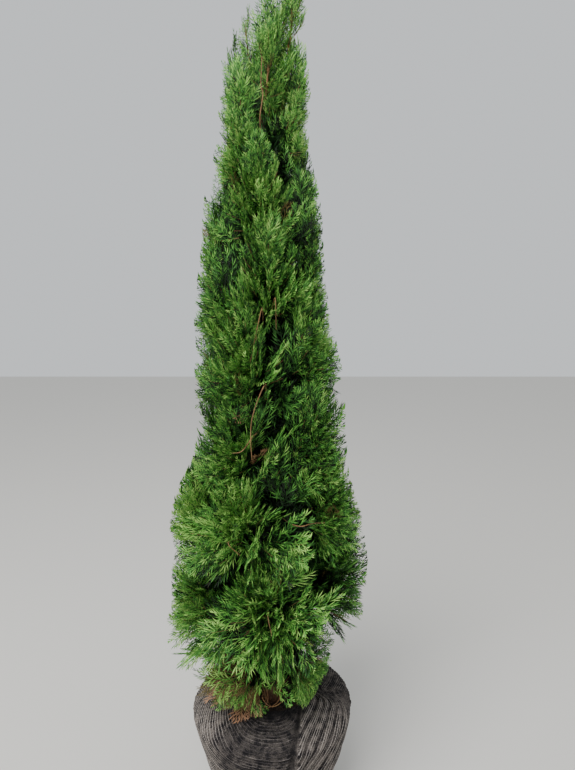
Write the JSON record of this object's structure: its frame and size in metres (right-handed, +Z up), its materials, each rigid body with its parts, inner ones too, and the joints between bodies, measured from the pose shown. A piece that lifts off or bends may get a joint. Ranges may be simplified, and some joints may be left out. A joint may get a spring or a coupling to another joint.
{
  "type": "potted conifer shrub",
  "caption": "Tall narrow evergreen conifer with flat upright sprays of scale leaves, standing in a round ribbed cloth root bag.",
  "frame": {"origin": "centre of the flat underside of the root bag, on the ground", "axes": "+Z up along the plant, -Y towards the viewer's side that the picture shows, +X to the viewer's right"},
  "size_m": [0.4066, 0.4041, 1.7121],
  "materials": {
    "cloth": "dark grey ribbed cloth, matt and dusty",
    "soil": "damp dark soil",
    "bark": "thin brown bark, rough",
    "foliage": "bright to deep green scale leaves"
  },
  "bodies": {
    "root": {"root_bag": "cloth", "soil": "soil", "trunk": "bark", "leader": "bark", "skirt_bough_1": "bark", "skirt_bough_2": "bark", "skirt_bough_3": "bark", "skirt_bough_4": "bark", "skirt_bough_5": "bark", "lower_bough_1": "bark", "lower_bough_2": "bark", "lower_bough_3": "bark", "lower_bough_4": "bark", "lower_bough_5": "bark", "broad_bough_1": "bark", "broad_bough_2": "bark", "broad_bough_3": "bark", "broad_bough_4": "bark", "broad_bough_5": "bark", "skirt_foliage_1": "foliage", "skirt_foliage_2": "foliage", "skirt_foliage_3": "foliage", "skirt_foliage_4": "foliage", "skirt_foliage_5": "foliage", "lower_foliage_1": "foliage", "lower_foliage_2": "foliage", "lower_foliage_3": "foliage", "lower_foliage_4": "foliage", "lower_foliage_5": "foliage", "broad_foliage_1": "foliage", "broad_foliage_2": "foliage", "broad_foliage_3": "foliage", "broad_foliage_4": "foliage", "broad_foliage_5": "foliage", "waist_foliage_1": "foliage", "waist_foliage_2": "foliage", "waist_foliage_3": "foliage", "waist_foliage_4": "foliage", "middle_foliage_1": "foliage", "middle_foliage_2": "foliage", "middle_foliage_3": "foliage", "middle_foliage_4": "foliage", "upper_foliage_1": "foliage", "upper_foliage_2": "foliage", "upper_foliage_3": "foliage", "upper_foliage_4": "foliage", "neck_foliage_1": "foliage", "neck_foliage_2": "foliage", "neck_foliage_3": "foliage", "spire_foliage_1": "foliage", "spire_foliage_2": "foliage", "spire_foliage_3": "foliage", "crest_foliage_1": "foliage", "crest_foliage_2": "foliage", "crest_foliage_3": "foliage", "tip_main_foliage": "foliage", "tip_second_foliage": "foliage", "tip_side_foliage": "foliage"}
  },
  "joints": []
}
